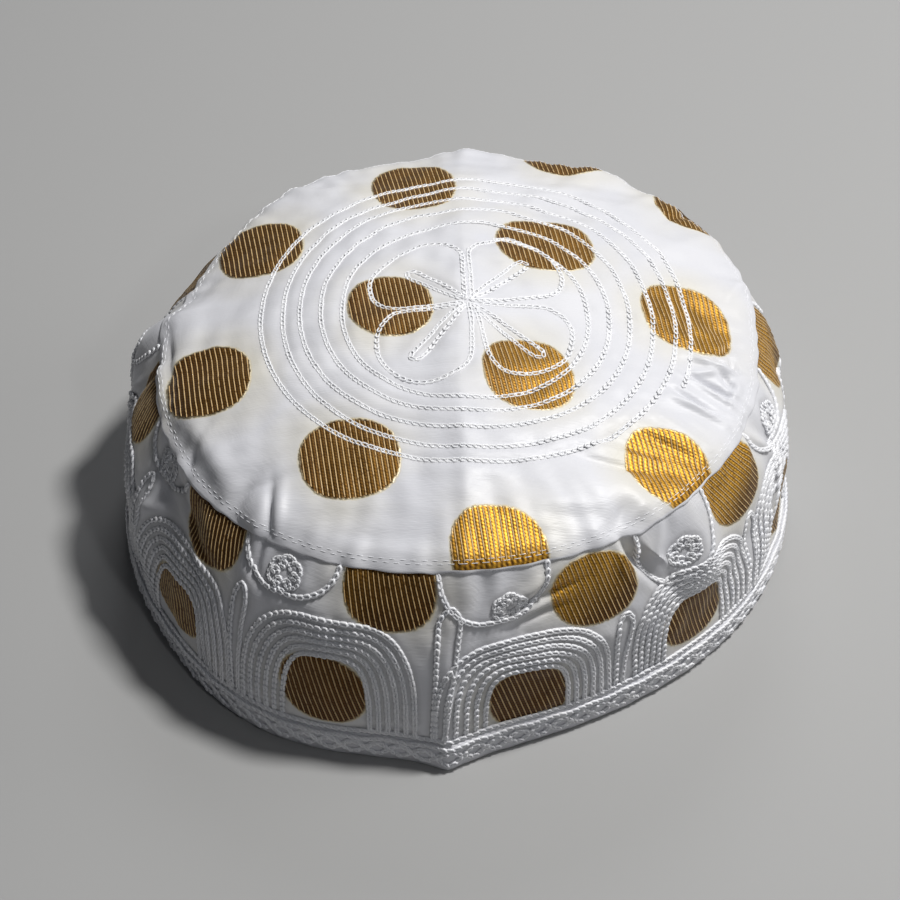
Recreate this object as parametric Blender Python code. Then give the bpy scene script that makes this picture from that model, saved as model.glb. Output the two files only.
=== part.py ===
"""Taqiyah: a soft round cap of a domed crown, a side band and a hem strip, resting on its rim.

Units are metres and degrees, +Z is up and the origin is the middle of the cap's box, where it rests.
A bearing is measured round the axis of the sections, from the front (-Y) towards the right (+X).
"""

from collections import namedtuple

import bpy
import numpy as np

MM = 0.001

# Cloth walls, the small gap between sewn pieces, and how far the sewn edges stand proud of the band.
STRIP_WALL = 2.2 * MM
BAND_WALL = 1.6 * MM
CROWN_WALL = 1.5 * MM
SEWN_GAP = 0.3 * MM
STRIP_PROUD = 0.5 * MM
CROWN_PROUD = 0.5 * MM
CROWN_PROUD_REACH = 4.0 * MM

# Place of the axis of the sections, which centres the cap's box on the origin.
AXIS = (-2.7 * MM, -0.35 * MM, 0.0)

# Heights.
STRIP_HEIGHT = 8.0 * MM
CROWN_TOP = 71.5 * MM
DOME_POWER = 2.2
ROLL_WIDTH = 2.5

# Sections of the cap every 30 degrees: radius at the rim and at the crown seam, height of the seam,
# how long the band stays upright before it leans in, and how far the crown's edge rolls over.
Section = namedtuple("Section", "bearing hem_radius seam_radius seam_height shoulder_power edge_roll")
SECTIONS = (
    Section(-180, 91.5 * MM, 80.5 * MM, 58.5 * MM, 4.0, 1.5 * MM),
    Section(-150, 89.0 * MM, 80.2 * MM, 58.5 * MM, 4.0, 1.5 * MM),
    Section(-120, 88.0 * MM, 74.5 * MM, 55.5 * MM, 4.2, 1.5 * MM),
    Section(-90, 87.2 * MM, 75.5 * MM, 53.5 * MM, 4.4, 2.0 * MM),
    Section(-60, 88.8 * MM, 78.0 * MM, 52.0 * MM, 3.6, 4.0 * MM),
    Section(-30, 94.0 * MM, 79.5 * MM, 53.5 * MM, 3.2, 2.0 * MM),
    Section(0, 88.6 * MM, 78.5 * MM, 54.5 * MM, 3.2, 1.5 * MM),
    Section(30, 86.2 * MM, 79.0 * MM, 54.5 * MM, 3.4, 1.5 * MM),
    Section(60, 89.2 * MM, 79.5 * MM, 53.5 * MM, 3.8, 1.5 * MM),
    Section(90, 92.5 * MM, 81.5 * MM, 54.0 * MM, 4.2, 1.5 * MM),
    Section(120, 92.0 * MM, 86.5 * MM, 57.5 * MM, 4.2, 2.0 * MM),
    Section(150, 92.0 * MM, 84.0 * MM, 59.5 * MM, 4.0, 2.0 * MM),
)

# The cap is stored folded flat, which leaves a ridge over the crown and a crease down the band at each end.
RIDGE_X = 3.4 * MM
RIDGE_SLANT = 0.036
RIDGE_HALF_LENGTH = 80.0 * MM
RIDGE_POWER = 1.3
RIDGE_FRONT_RISE, RIDGE_BACK_RISE = 1.2 * MM, 2.0 * MM
RIDGE_FRONT_WIDTH, RIDGE_BACK_WIDTH = 5.0 * MM, 12.0 * MM
Crease = namedtuple("Crease", "bearing half_width reach")
HEM_CREASES = (
    Crease(-2.0, 6.0, 6.0 * MM),
    Crease(178.0, 8.0, 4.0 * MM),
)
CREASE_POWER = 1.2

# Folds on the band: middle (bearing and height), lean of the run from upright, half length, half width, and
# depth, which is outward for a bulge and negative for a dent.
BandFold = namedtuple("BandFold", "bearing height lean half_length half_width depth")
BAND_FOLDS = (
    BandFold(-103, 45 * MM, 10, 16 * MM, 9 * MM, 3.8 * MM),
    BandFold(-92, 47 * MM, 20, 12 * MM, 5 * MM, -2.0 * MM),
    BandFold(-62, 43 * MM, -80, 20 * MM, 5 * MM, -2.6 * MM),
    BandFold(-70, 26 * MM, -60, 18 * MM, 8 * MM, 1.8 * MM),
    BandFold(-22, 40 * MM, 90, 14 * MM, 6 * MM, 1.0 * MM),
    BandFold(14, 41 * MM, 80, 12 * MM, 6 * MM, -1.4 * MM),
    BandFold(18, 28 * MM, 85, 16 * MM, 4 * MM, 1.4 * MM),
    BandFold(37, 45 * MM, -35, 13 * MM, 4.5 * MM, -2.8 * MM),
    BandFold(47, 40 * MM, 0, 14 * MM, 6 * MM, 1.6 * MM),
    BandFold(58, 25 * MM, 60, 16 * MM, 5 * MM, -1.4 * MM),
    BandFold(84, 16 * MM, 85, 18 * MM, 5 * MM, -1.8 * MM),
    BandFold(103, 44 * MM, 15, 14 * MM, 9 * MM, 1.6 * MM),
    BandFold(132, 42 * MM, -15, 14 * MM, 7 * MM, 1.6 * MM),
    BandFold(155, 36 * MM, 20, 16 * MM, 7 * MM, -1.6 * MM),
    BandFold(-155, 38 * MM, -20, 16 * MM, 7 * MM, -1.6 * MM),
    BandFold(-132, 40 * MM, 10, 15 * MM, 6 * MM, -1.4 * MM),
)

# Folds on the crown: middle, turn of the run from the X axis, half length, half width and rise.
CrownFold = namedtuple("CrownFold", "x y turn half_length half_width rise")
CROWN_FOLDS = (
    CrownFold(9 * MM, 79 * MM, 0, 9 * MM, 6 * MM, 1.4 * MM),
    CrownFold(44 * MM, 70 * MM, -30, 7 * MM, 6 * MM, 1.8 * MM),
    CrownFold(-52 * MM, -54 * MM, 72, 10 * MM, 3.6 * MM, -1.5 * MM),
    CrownFold(-44 * MM, -58 * MM, 60, 12 * MM, 5 * MM, 1.0 * MM),
    CrownFold(48 * MM, -45 * MM, -18, 15 * MM, 4.5 * MM, -2.4 * MM),
    CrownFold(40 * MM, -58 * MM, -12, 15 * MM, 5 * MM, 1.2 * MM),
    CrownFold(68 * MM, -22 * MM, -40, 14 * MM, 4 * MM, -1.3 * MM),
    CrownFold(66 * MM, -10 * MM, -42, 14 * MM, 4 * MM, 1.2 * MM),
    CrownFold(71 * MM, 4 * MM, -50, 12 * MM, 4 * MM, -1.2 * MM),
    CrownFold(-70 * MM, 2 * MM, 70, 12 * MM, 5 * MM, 1.4 * MM),
    CrownFold(-70 * MM, 22 * MM, 30, 10 * MM, 4.5 * MM, -1.4 * MM),
)

# A fold that reaches the seam carries on a little on the other side of it.
BAND_FADE = 9.0 * MM
CROWN_FADE = 8.0 * MM
SEAM_TILT = 45.0
TILT_START_BAND, TILT_START_CROWN = 0.72, 0.80

# Grid of the solids. The first bearing lies on the front crease, so both creases fall on a column of points.
COLUMNS = 120
FIRST_BEARING = HEM_CREASES[0].bearing
STRIP_ROWS = 2
BAND_ROWS = 10
CROWN_RINGS = (1.0, 0.975, 0.93, 0.86, 0.76, 0.63, 0.48, 0.32, 0.16)
SHARE_STEP, BEARING_STEP = 0.002, 0.2

WHITE_SATIN = (0.86, 0.86, 0.88, 1.0)
HEM_SATIN = (0.80, 0.80, 0.83, 1.0)
BAND_SATIN = (0.83, 0.83, 0.86, 1.0)
SATIN_ROUGHNESS = 0.45


def section_value(column, bearing):
    """A smooth closed curve through one column of SECTIONS."""
    values = np.array([getattr(row, column) for row in SECTIONS])
    count = len(values)
    place = ((bearing - SECTIONS[0].bearing) % 360.0) / (360.0 / count)
    index = np.floor(place).astype(int)
    t = place - index
    before, here, after, later = (values[(index + shift) % count] for shift in (-1, 0, 1, 2))
    bend = 2 * before - 5 * here + 4 * after - later
    twist = 3 * here - before - 3 * after + later
    return 0.5 * (2 * here + (after - before) * t + bend * t ** 2 + twist * t ** 3)


def bearing_gap(bearing, other):
    """Signed angle from other to bearing, in degrees."""
    return (bearing - other + 180.0) % 360.0 - 180.0


def smooth_step(value, start, end):
    t = np.clip((value - start) / (end - start), 0.0, 1.0)
    return t * t * (3.0 - 2.0 * t)


def fold_height(along, across, fold, height):
    return height * np.exp(-(along / fold.half_length) ** 2 - (across / fold.half_width) ** 2)


def band_folds(bearing, height):
    """How far the folds push the band out at a bearing and a height."""
    total = np.zeros(np.broadcast(bearing, height).shape)
    for fold in BAND_FOLDS:
        arc = np.radians(bearing_gap(bearing, fold.bearing)) * section_value("hem_radius", fold.bearing)
        rise = height - fold.height
        lean = np.radians(fold.lean)
        along = rise * np.cos(lean) + arc * np.sin(lean)
        across = arc * np.cos(lean) - rise * np.sin(lean)
        total = total + fold_height(along, across, fold, fold.depth)
    return total


def crown_folds(x, y):
    """How far the folds and the crease ridge lift the crown."""
    back = np.clip(0.5 + 0.5 * y / RIDGE_HALF_LENGTH, 0.0, 1.0)
    width = RIDGE_FRONT_WIDTH + (RIDGE_BACK_WIDTH - RIDGE_FRONT_WIDTH) * back
    rise = RIDGE_FRONT_RISE + (RIDGE_BACK_RISE - RIDGE_FRONT_RISE) * back
    off_ridge = np.abs(x - RIDGE_X - RIDGE_SLANT * y)
    total = rise * np.exp(-(off_ridge / width) ** RIDGE_POWER)
    for fold in CROWN_FOLDS:
        turn = np.radians(fold.turn)
        along = (x - fold.x) * np.cos(turn) + (y - fold.y) * np.sin(turn)
        across = (y - fold.y) * np.cos(turn) - (x - fold.x) * np.sin(turn)
        total = total + fold_height(along, across, fold, fold.rise)
    return total


def hem_creases(bearing):
    total = np.zeros(np.shape(bearing))
    for crease in HEM_CREASES:
        off = np.abs(bearing_gap(bearing, crease.bearing)) / crease.half_width
        total = total + crease.reach * np.exp(-off ** CREASE_POWER)
    return total


def round_point(bearing, radius, height):
    turn = np.radians(bearing)
    return np.stack(np.broadcast_arrays(radius * np.sin(turn), -radius * np.cos(turn), height), axis=-1)


def band_skin(bearing, share):
    """Outer face of the band, from the rim at share 0 to the crown seam at share 1."""
    seam_radius = section_value("seam_radius", bearing)
    seam_height = section_value("seam_height", bearing)
    hem_radius = section_value("hem_radius", bearing)
    lean_in = np.clip(share, 0.0, None) ** section_value("shoulder_power", bearing)
    radius = hem_radius + (seam_radius - hem_radius) * lean_in + hem_creases(bearing) * (1.0 - share)
    height = share * seam_height
    edge = round_point(bearing, seam_radius, 0.0)
    from_crown = np.exp(-(seam_height - height) / BAND_FADE) * crown_folds(edge[..., 0], edge[..., 1])
    push = (band_folds(bearing, height) + from_crown) * smooth_step(height, 0.0, STRIP_HEIGHT)
    tilt = np.radians(SEAM_TILT) * smooth_step(share, TILT_START_BAND, 1.0)
    return round_point(bearing, radius + push * np.cos(tilt), height + push * np.sin(tilt))


def crown_skin(bearing, share):
    """Outer face of the crown, from its middle at share 0 to its edge at share 1."""
    seam_radius = section_value("seam_radius", bearing)
    seam_height = section_value("seam_height", bearing)
    edge_roll = section_value("edge_roll", bearing)
    radius = share * seam_radius
    flat = round_point(bearing, radius, 0.0)
    dome = (CROWN_TOP - seam_height - edge_roll) * (1.0 - share ** DOME_POWER)
    into_roll = np.clip(1.0 - (seam_radius - radius) / (ROLL_WIDTH * edge_roll), 0.0, 1.0)
    height = seam_height + dome + edge_roll * (1.0 - into_roll ** 2)
    from_band = np.exp(-(seam_radius - radius) / CROWN_FADE) * band_folds(bearing, seam_height)
    push = crown_folds(flat[..., 0], flat[..., 1]) + from_band
    tilt = np.radians(90.0 - (90.0 - SEAM_TILT) * smooth_step(share, TILT_START_CROWN, 1.0))
    return round_point(bearing, radius + push * np.cos(tilt), height + push * np.sin(tilt))


def outward(skin, bearing, share):
    """Unit directions that point out of the cap at points of a skin."""
    if skin is crown_skin:
        share = np.clip(share, 2 * SHARE_STEP, 1.0)
    sideways = skin(bearing + BEARING_STEP, share) - skin(bearing - BEARING_STEP, share)
    upward = skin(bearing, share + SHARE_STEP) - skin(bearing, share - SHARE_STEP)
    if skin is crown_skin:
        upward = -upward
    direction = np.cross(sideways, upward)
    return direction / np.linalg.norm(direction, axis=-1, keepdims=True)


def mesh_object(name, points, faces, collection, color):
    """A smooth-shaded object with a cloth material of its own."""
    mesh = bpy.data.meshes.new(name)
    mesh.from_pydata([tuple(point) for point in points + np.array(AXIS)], [], faces)
    mesh.validate()
    mesh.shade_smooth()
    piece = bpy.data.objects.new(name, mesh)
    collection.objects.link(piece)
    material = bpy.data.materials.new(name + "_satin")
    material.use_nodes = True
    surface = material.node_tree.nodes["Principled BSDF"]
    surface.inputs["Base Color"].default_value = color
    surface.inputs["Roughness"].default_value = SATIN_ROUGHNESS
    surface.inputs["Metallic"].default_value = 0.0
    mesh.materials.append(material)
    return piece


def ring_faces(rows, first):
    """Quads between neighbouring rows of COLUMNS points each, numbered from first."""
    faces = []
    for row in range(rows - 1):
        for column in range(COLUMNS):
            beside = (column + 1) % COLUMNS
            low, high = first + row * COLUMNS, first + (row + 1) * COLUMNS
            faces.append((low + column, low + beside, high + beside, high + column))
    return faces


def closed_ring(name, outer_rows, inner_rows, collection, color):
    """A wall all the way round, lofted up through its outer rows and back down through its inner rows."""
    rows = outer_rows + inner_rows[::-1]
    total = len(rows) * COLUMNS
    faces = [tuple(corner % total for corner in face) for face in ring_faces(len(rows) + 1, 0)]
    return mesh_object(name, np.concatenate(rows), faces, collection, color)


def wall_rows(bearings, shares, proud, wall):
    """Rows of points on the outer and the inner face of a stretch of the band."""
    outer, inner = [], []
    for share in shares:
        skin = band_skin(bearings, share)
        normal = outward(band_skin, bearings, share)
        outer.append(skin + normal * proud)
        inner.append(skin + normal * (proud - wall))
    return outer, inner


def hem_strip(bearings, collection):
    strip_share = STRIP_HEIGHT / section_value("seam_height", bearings)
    shares = [strip_share * row / STRIP_ROWS for row in range(STRIP_ROWS + 1)]
    outer, inner = wall_rows(bearings, shares, STRIP_PROUD, STRIP_WALL)
    for row in range(STRIP_ROWS + 1):
        outer[row][:, 2] = inner[row][:, 2] = STRIP_HEIGHT * row / STRIP_ROWS
    return closed_ring("hem_strip", outer, inner, collection, HEM_SATIN)


def side_band(bearings, collection):
    seam_height = section_value("seam_height", bearings)
    foot = (STRIP_HEIGHT + SEWN_GAP) / seam_height
    head = 1.0 - SEWN_GAP / seam_height
    shares = [foot + (head - foot) * row / BAND_ROWS for row in range(BAND_ROWS + 1)]
    outer, inner = wall_rows(bearings, shares, 0.0, BAND_WALL)
    outer[0][:, 2] = inner[0][:, 2] = STRIP_HEIGHT + SEWN_GAP
    return closed_ring("side_band", outer, inner, collection, BAND_SATIN)


def crown(bearings, collection):
    outer, inner = [], []
    for share in CROWN_RINGS:
        shares = np.full(bearings.shape, share)
        skin = crown_skin(bearings, shares)
        normal = outward(crown_skin, bearings, shares)
        if share == 1.0:
            normal = outward(band_skin, bearings, shares)
        from_edge = (1.0 - share) * section_value("seam_radius", bearings)
        proud = CROWN_PROUD * np.exp(-from_edge / CROWN_PROUD_REACH)
        outer.append(skin + normal * proud[:, None])
        inner.append(skin - normal * CROWN_WALL)
    middle = crown_skin(np.zeros(1), np.zeros(1))
    rows = len(CROWN_RINGS)
    points = np.concatenate(outer + inner[::-1] + [middle, middle - [[0.0, 0.0, CROWN_WALL]]])
    faces = ring_faces(rows, 0) + ring_faces(rows, rows * COLUMNS)
    high, low = (rows - 1) * COLUMNS, rows * COLUMNS
    under_edge = (2 * rows - 1) * COLUMNS
    top, under = 2 * rows * COLUMNS, 2 * rows * COLUMNS + 1
    for column in range(COLUMNS):
        beside = (column + 1) % COLUMNS
        faces.append((high + column, high + beside, top))
        faces.append((low + beside, low + column, under))
        faces.append((under_edge + column, under_edge + beside, beside, column))
    return mesh_object("crown", points, faces, collection, WHITE_SATIN)


def build():
    for old in list(bpy.data.objects):
        bpy.data.objects.remove(old, do_unlink=True)
    collection = bpy.data.collections.new("taqiyah")
    bpy.context.scene.collection.children.link(collection)
    bearings = FIRST_BEARING + 360.0 * np.arange(COLUMNS) / COLUMNS
    hem_strip(bearings, collection)
    side_band(bearings, collection)
    crown(bearings, collection)


build()
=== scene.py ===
# %% [markdown]
# # A satin taqiyah with woven dots and chain-stitch rings
# The cap is a soft round skullcap of white satin. Gold and brown ribbed dots are woven into the cloth, and
# white chain stitch covers it in rings, arches and rosettes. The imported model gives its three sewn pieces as
# plain walls. This file dresses them: it makes the same skins again at a fine grid, puts the small folds
# into them, and then sews the cords and stitches on top.

# %% Load the frame
import math
from collections import namedtuple

import bpy
import numpy as np
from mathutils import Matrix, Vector
from mathutils.kdtree import KDTree


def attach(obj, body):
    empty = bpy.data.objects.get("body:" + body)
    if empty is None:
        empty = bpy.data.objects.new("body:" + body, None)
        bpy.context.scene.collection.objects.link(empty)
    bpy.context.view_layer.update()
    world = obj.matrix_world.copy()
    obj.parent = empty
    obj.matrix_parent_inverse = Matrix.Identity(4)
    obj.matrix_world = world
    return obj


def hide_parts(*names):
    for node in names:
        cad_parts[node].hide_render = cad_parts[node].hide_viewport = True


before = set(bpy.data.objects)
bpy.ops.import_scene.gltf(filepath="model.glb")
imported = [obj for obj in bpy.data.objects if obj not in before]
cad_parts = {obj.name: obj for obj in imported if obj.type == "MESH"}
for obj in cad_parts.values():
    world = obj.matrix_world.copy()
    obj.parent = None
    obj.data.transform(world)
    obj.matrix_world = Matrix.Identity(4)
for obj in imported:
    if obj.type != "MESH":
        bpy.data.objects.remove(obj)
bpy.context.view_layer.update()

MM = 0.001

# %% [markdown]
# ## The shape of the cap
# A sewn cap has no exact profile. It could be modelled as one free surface, but a few named sections are
# easier to read and to change: at each of twelve bearings they say how wide the rim and the seam are and how
# high the seam lies, and a smooth closed curve runs through them. Folds are added as soft bumps with a place
# and a run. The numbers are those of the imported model, so each fine piece lies where its plain wall does.

# %% Sections, creases and folds
AXIS = (-2.7 * MM, -0.35 * MM, 0.0)
STRIP_HEIGHT, CROWN_TOP = 8.0 * MM, 71.5 * MM
DOME_POWER, ROLL_WIDTH, CREASE_POWER = 2.2, 2.5, 1.2
RIDGE_X, RIDGE_SLANT, RIDGE_HALF_LENGTH, RIDGE_POWER = 3.4 * MM, 0.036, 80.0 * MM, 1.3
RIDGE_FRONT_RISE, RIDGE_BACK_RISE = 1.2 * MM, 2.0 * MM
RIDGE_FRONT_WIDTH, RIDGE_BACK_WIDTH = 5.0 * MM, 12.0 * MM
RIDGE_SWAY, RIDGE_SWAY_RUN, RIDGE_ROUND = 0.7 * MM, 13.0 * MM, 1.0 * MM
BAND_FADE, CROWN_FADE, SEAM_TILT = 9.0 * MM, 8.0 * MM, 45.0
TILT_START_BAND, TILT_START_CROWN = 0.72, 0.80
SHARE_STEP, BEARING_STEP = 0.002, 0.2

# Sections: bearing in degrees, and then sizes in millimetres.
Section = namedtuple("Section", "bearing hem_radius seam_radius seam_height shoulder_power edge_roll")
SECTIONS = [Section(bearing, hem * MM, seam * MM, height * MM, power, roll * MM)
            for bearing, hem, seam, height, power, roll in (
    (-180, 91.5, 80.5, 58.5, 4.0, 1.5), (-150, 89.0, 80.2, 58.5, 4.0, 1.5),
    (-120, 88.0, 74.5, 55.5, 4.2, 1.5), (-90, 87.2, 75.5, 53.5, 4.4, 2.0),
    (-60, 88.8, 78.0, 52.0, 3.6, 4.0), (-30, 94.0, 79.5, 53.5, 3.2, 2.0),
    (0, 88.6, 78.5, 54.5, 3.2, 1.5), (30, 86.2, 79.0, 54.5, 3.4, 1.5),
    (60, 89.2, 79.5, 53.5, 3.8, 1.5), (90, 92.5, 81.5, 54.0, 4.2, 1.5),
    (120, 92.0, 86.5, 57.5, 4.2, 2.0), (150, 92.0, 84.0, 59.5, 4.0, 2.0))]

# The crease down each end of the cap: bearing, half width in degrees, reach.
HEM_CREASES = ((-2.0, 6.0, 6.0 * MM), (178.0, 8.0, 4.0 * MM))

# A fold is a soft ridge, or a valley if its rise is below zero: its place, the turn of its run, and its half
# length, half width and rise in millimetres. On the band the place is a bearing and a height, and the run
# turns from upright. On the crown it is x and y, and the run turns from the X axis.
Fold = namedtuple("Fold", "x y turn half_length half_width rise")
BAND_FOLDS = [Fold(*row) for row in (
    (-103, 45, 10, 16, 9, 3.8), (-92, 47, 20, 12, 5, -2.0), (-62, 43, -80, 20, 5, -2.6),
    (-70, 26, -60, 18, 8, 1.8), (-22, 40, 90, 14, 6, 1.0), (14, 41, 80, 12, 6, -1.4),
    (18, 28, 85, 16, 4, 1.4), (37, 45, -35, 13, 4.5, -2.8), (47, 40, 0, 14, 6, 1.6),
    (58, 25, 60, 16, 5, -1.4), (84, 16, 85, 18, 5, -1.8), (103, 44, 15, 14, 9, 1.6),
    (132, 42, -15, 14, 7, 1.6), (155, 36, 20, 16, 7, -1.6), (-155, 38, -20, 16, 7, -1.6),
    (-132, 40, 10, 15, 6, -1.4))]

CROWN_FOLDS = [Fold(*row) for row in (
    (9, 79, 0, 9, 6, 1.4), (44, 70, -30, 7, 6, 1.8), (-52, -54, 72, 10, 3.6, -1.5),
    (-44, -58, 60, 12, 5, 1.0), (48, -45, -18, 15, 4.5, -2.4), (40, -58, -12, 15, 5, 1.2),
    (68, -22, -40, 14, 4, -1.3), (66, -10, -42, 14, 4, 1.2), (71, 4, -50, 12, 4, -1.2),
    (-70, 2, 70, 12, 5, 1.4), (-70, 22, 30, 10, 4.5, -1.4))]
print("sections", len(SECTIONS), "folds", len(BAND_FOLDS) + len(CROWN_FOLDS))

# %% Skins of the band and the crown
def smooth_between(before, here, after, later, t):
    """A smooth curve from here, at t = 0, to after, at t = 1."""
    bend = 2 * before - 5 * here + 4 * after - later
    twist = 3 * here - before - 3 * after + later
    return 0.5 * (2 * here + (after - before) * t + bend * t ** 2 + twist * t ** 3)


def section_value(column, bearing):
    """A smooth closed curve through one column of SECTIONS."""
    values = np.array([getattr(row, column) for row in SECTIONS])
    count = len(values)
    place = ((bearing - SECTIONS[0].bearing) % 360.0) / (360.0 / count)
    index = np.floor(place).astype(int)
    return smooth_between(*(values[(index + shift) % count] for shift in (-1, 0, 1, 2)), place - index)


def bearing_gap(bearing, other):
    return (bearing - other + 180.0) % 360.0 - 180.0


def smooth_step(value, start, end):
    t = np.clip((value - start) / (end - start), 0.0, 1.0)
    return t * t * (3.0 - 2.0 * t)


def soft_fold(fold, ahead, aside):
    """The rise of one fold in metres, at millimetres ahead and aside of its place."""
    turn = math.radians(fold.turn)
    along = ahead * math.cos(turn) + aside * math.sin(turn)
    across = aside * math.cos(turn) - ahead * math.sin(turn)
    return fold.rise * MM * np.exp(-(along / fold.half_length) ** 2 - (across / fold.half_width) ** 2)


def band_bumps(folds, bearing, height):
    """How far folds push the band out at a bearing and a height."""
    return sum(soft_fold(fold, height / MM - fold.y,
                         np.radians(bearing_gap(bearing, fold.x)) * section_value("hem_radius", fold.x) / MM)
               for fold in folds)


def crown_bumps(folds, x, y):
    """How far folds lift the crown at a place of its flat plan."""
    return sum(soft_fold(fold, x / MM - fold.x, y / MM - fold.y) for fold in folds)


def crown_lift(x, y):
    """The crease ridge over the crown together with the crown's folds."""
    back = np.clip(0.5 + 0.5 * y / RIDGE_HALF_LENGTH, 0.0, 1.0)
    width = RIDGE_FRONT_WIDTH + (RIDGE_BACK_WIDTH - RIDGE_FRONT_WIDTH) * back
    rise = RIDGE_FRONT_RISE + (RIDGE_BACK_RISE - RIDGE_FRONT_RISE) * back
    middle = RIDGE_X + RIDGE_SLANT * y + RIDGE_SWAY * np.sin(y / RIDGE_SWAY_RUN)
    off_ridge = np.hypot(x - middle, RIDGE_ROUND)
    return rise * np.exp(-(off_ridge / width) ** RIDGE_POWER) + crown_bumps(CROWN_FOLDS, x, y)


def round_point(bearing, radius, height):
    turn = np.radians(bearing)
    return np.stack(np.broadcast_arrays(radius * np.sin(turn), -radius * np.cos(turn), height), axis=-1)


def band_skin(bearing, share):
    """Outer face of the band, from the rim at share 0 to the crown seam at share 1."""
    seam_radius = section_value("seam_radius", bearing)
    seam_height = section_value("seam_height", bearing)
    hem_radius = section_value("hem_radius", bearing)
    lean_in = np.clip(share, 0.0, None) ** section_value("shoulder_power", bearing)
    creases = sum(reach * np.exp(-(np.abs(bearing_gap(bearing, place)) / width) ** CREASE_POWER)
                  for place, width, reach in HEM_CREASES)
    radius = hem_radius + (seam_radius - hem_radius) * lean_in + creases * (1.0 - share)
    height = share * seam_height
    edge = round_point(bearing, seam_radius, 0.0)
    from_crown = np.exp(-(seam_height - height) / BAND_FADE) * crown_lift(edge[..., 0], edge[..., 1])
    push = (band_bumps(BAND_FOLDS, bearing, height) + from_crown) * smooth_step(height, 0.0, STRIP_HEIGHT)
    tilt = math.radians(SEAM_TILT) * smooth_step(share, TILT_START_BAND, 1.0)
    return round_point(bearing, radius + push * np.cos(tilt), height + push * np.sin(tilt))


def crown_skin(bearing, share):
    """Outer face of the crown, from its middle at share 0 to its edge at share 1."""
    seam_radius = section_value("seam_radius", bearing)
    seam_height = section_value("seam_height", bearing)
    edge_roll = section_value("edge_roll", bearing)
    radius = share * seam_radius
    flat = round_point(bearing, radius, 0.0)
    dome = (CROWN_TOP - seam_height - edge_roll) * (1.0 - share ** DOME_POWER)
    into_roll = np.clip(1.0 - (seam_radius - radius) / (ROLL_WIDTH * edge_roll), 0.0, 1.0)
    height = seam_height + dome + edge_roll * (1.0 - into_roll ** 2)
    from_band = np.exp(-(seam_radius - radius) / CROWN_FADE) * band_bumps(BAND_FOLDS, bearing, seam_height)
    push = crown_lift(flat[..., 0], flat[..., 1]) + from_band
    tilt = np.radians(90.0 - (90.0 - SEAM_TILT) * smooth_step(share, TILT_START_CROWN, 1.0))
    return round_point(bearing, radius + push * np.cos(tilt), height + push * np.sin(tilt))


def outward(skin, bearing, share):
    """Unit directions that point out of the cap at points of a skin."""
    if skin is crown_skin:
        share = np.clip(share, 2 * SHARE_STEP, 1.0)
    sideways = skin(bearing + BEARING_STEP, share) - skin(bearing - BEARING_STEP, share)
    upward = skin(bearing, share + SHARE_STEP) - skin(bearing, share - SHARE_STEP)
    if skin is crown_skin:
        upward = -upward
    direction = np.cross(sideways, upward)
    return direction / np.linalg.norm(direction, axis=-1, keepdims=True)


print("top of the crown, mm:", round(float(crown_skin(np.zeros(1), np.zeros(1))[0, 2]) / MM, 1))

# %% [markdown]
# ## Where the woven dots lie
# Dots of this cloth are woven in a slanted lattice before the cloth is cut, so the seams cut through some. A
# regular lattice would be simpler, but a hand-sewn cap shifts it, so each dot has its own row here: its
# middle and half sizes in millimetres, the lean of its ribs, and a tone of painted light, which turns the dot
# from dark brown where it lies in shade to gold where light falls on it. The crown is a flat plan seen from
# above, x to the right and y to the back. The band is a strip, with a bearing round the cap and a height above
# the rim. Hidden dots carry on the same steps.

# %% Tables of the dots
Dot = namedtuple("Dot", "x y half_x half_y lean tone")
# The last column, the tone, is painted light: high for dots that catch a highlight, low for dots in shade.
CROWN_DOTS = [Dot(*row) for row in (
    (-49.5, 37, 11.5, 13, 7, 0.10), (-7.5, 59.5, 11.5, 13.5, 7, 0.14), (27, 27.5, 13, 11.5, 7, 0.18),
    (-15, 2, 11, 12, 7, 0.10), (63, 3.5, 12, 12.5, 7, 0.5), (-62, -14.5, 11, 12.5, 7, 0.08),
    (19.5, -24.2, 11.5, 11.8, 10, 0.42), (-26, -48.5, 12.5, 11.5, 7, 0.12), (53.7, -48, 11.2, 11, 12, 1.7),
    (10, -76, 12, 12, 7, 1.1), (36, 79.5, 12, 13, 7, 0.14), (72.5, 55, 13, 12, 7, 0.35))]
BAND_DOTS = [Dot(*row) for row in (
    (-85, 50, 12, 11, 17, 0.05), (-48.5, 50, 12.5, 11, 17, 0.05), (-12, 51, 12, 11, 17, 0.2),
    (24, 43.2, 12, 9.8, 17, 1.2), (58.5, 48, 12, 10.7, 28, 2.2), (95, 50, 12, 11, 17, 2.6),
    (131, 51, 12, 11, 17, 0.4), (167, 51, 12, 11, 17, 0.25), (-157, 51, 12, 11, 17, 0.15),
    (-121, 45.5, 12, 11, 17, 0.08), (-53, 21, 10.5, 8, 17, 0), (-21.8, 21, 10.6, 10.2, 17, 0.03),
    (11.4, 16.2, 10.2, 10.2, 17, 0), (44.3, 19.5, 10.6, 8.8, 17, 0.05))]
BAND_DOTS += [Dot(bearing, 20, 10.6, 9.5, 17, tone) for bearing, tone in (
    (77, 0.15), (110, 0.1), (143, 0.08), (176, 0.05), (-151, 0.05), (-118.5, 0.03), (-86, 0))]
DOT_POWER, DOT_SLANT, RIB_PITCH = 2.35, 0.10, 1.28
NO_DOT, BAND_MM_PER_DEGREE = 99.0, 1.5
# Painted sheen over a dot, as factors on its tone: at its middle, towards its top, and towards its right. Band
# dots are painted lighter at the top and crown dots at the right, where light falls.
BAND_PAINTED_SHEEN, CROWN_PAINTED_SHEEN = (0.55, 0.65, -0.35), (1.05, 0.0, 0.5)


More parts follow.
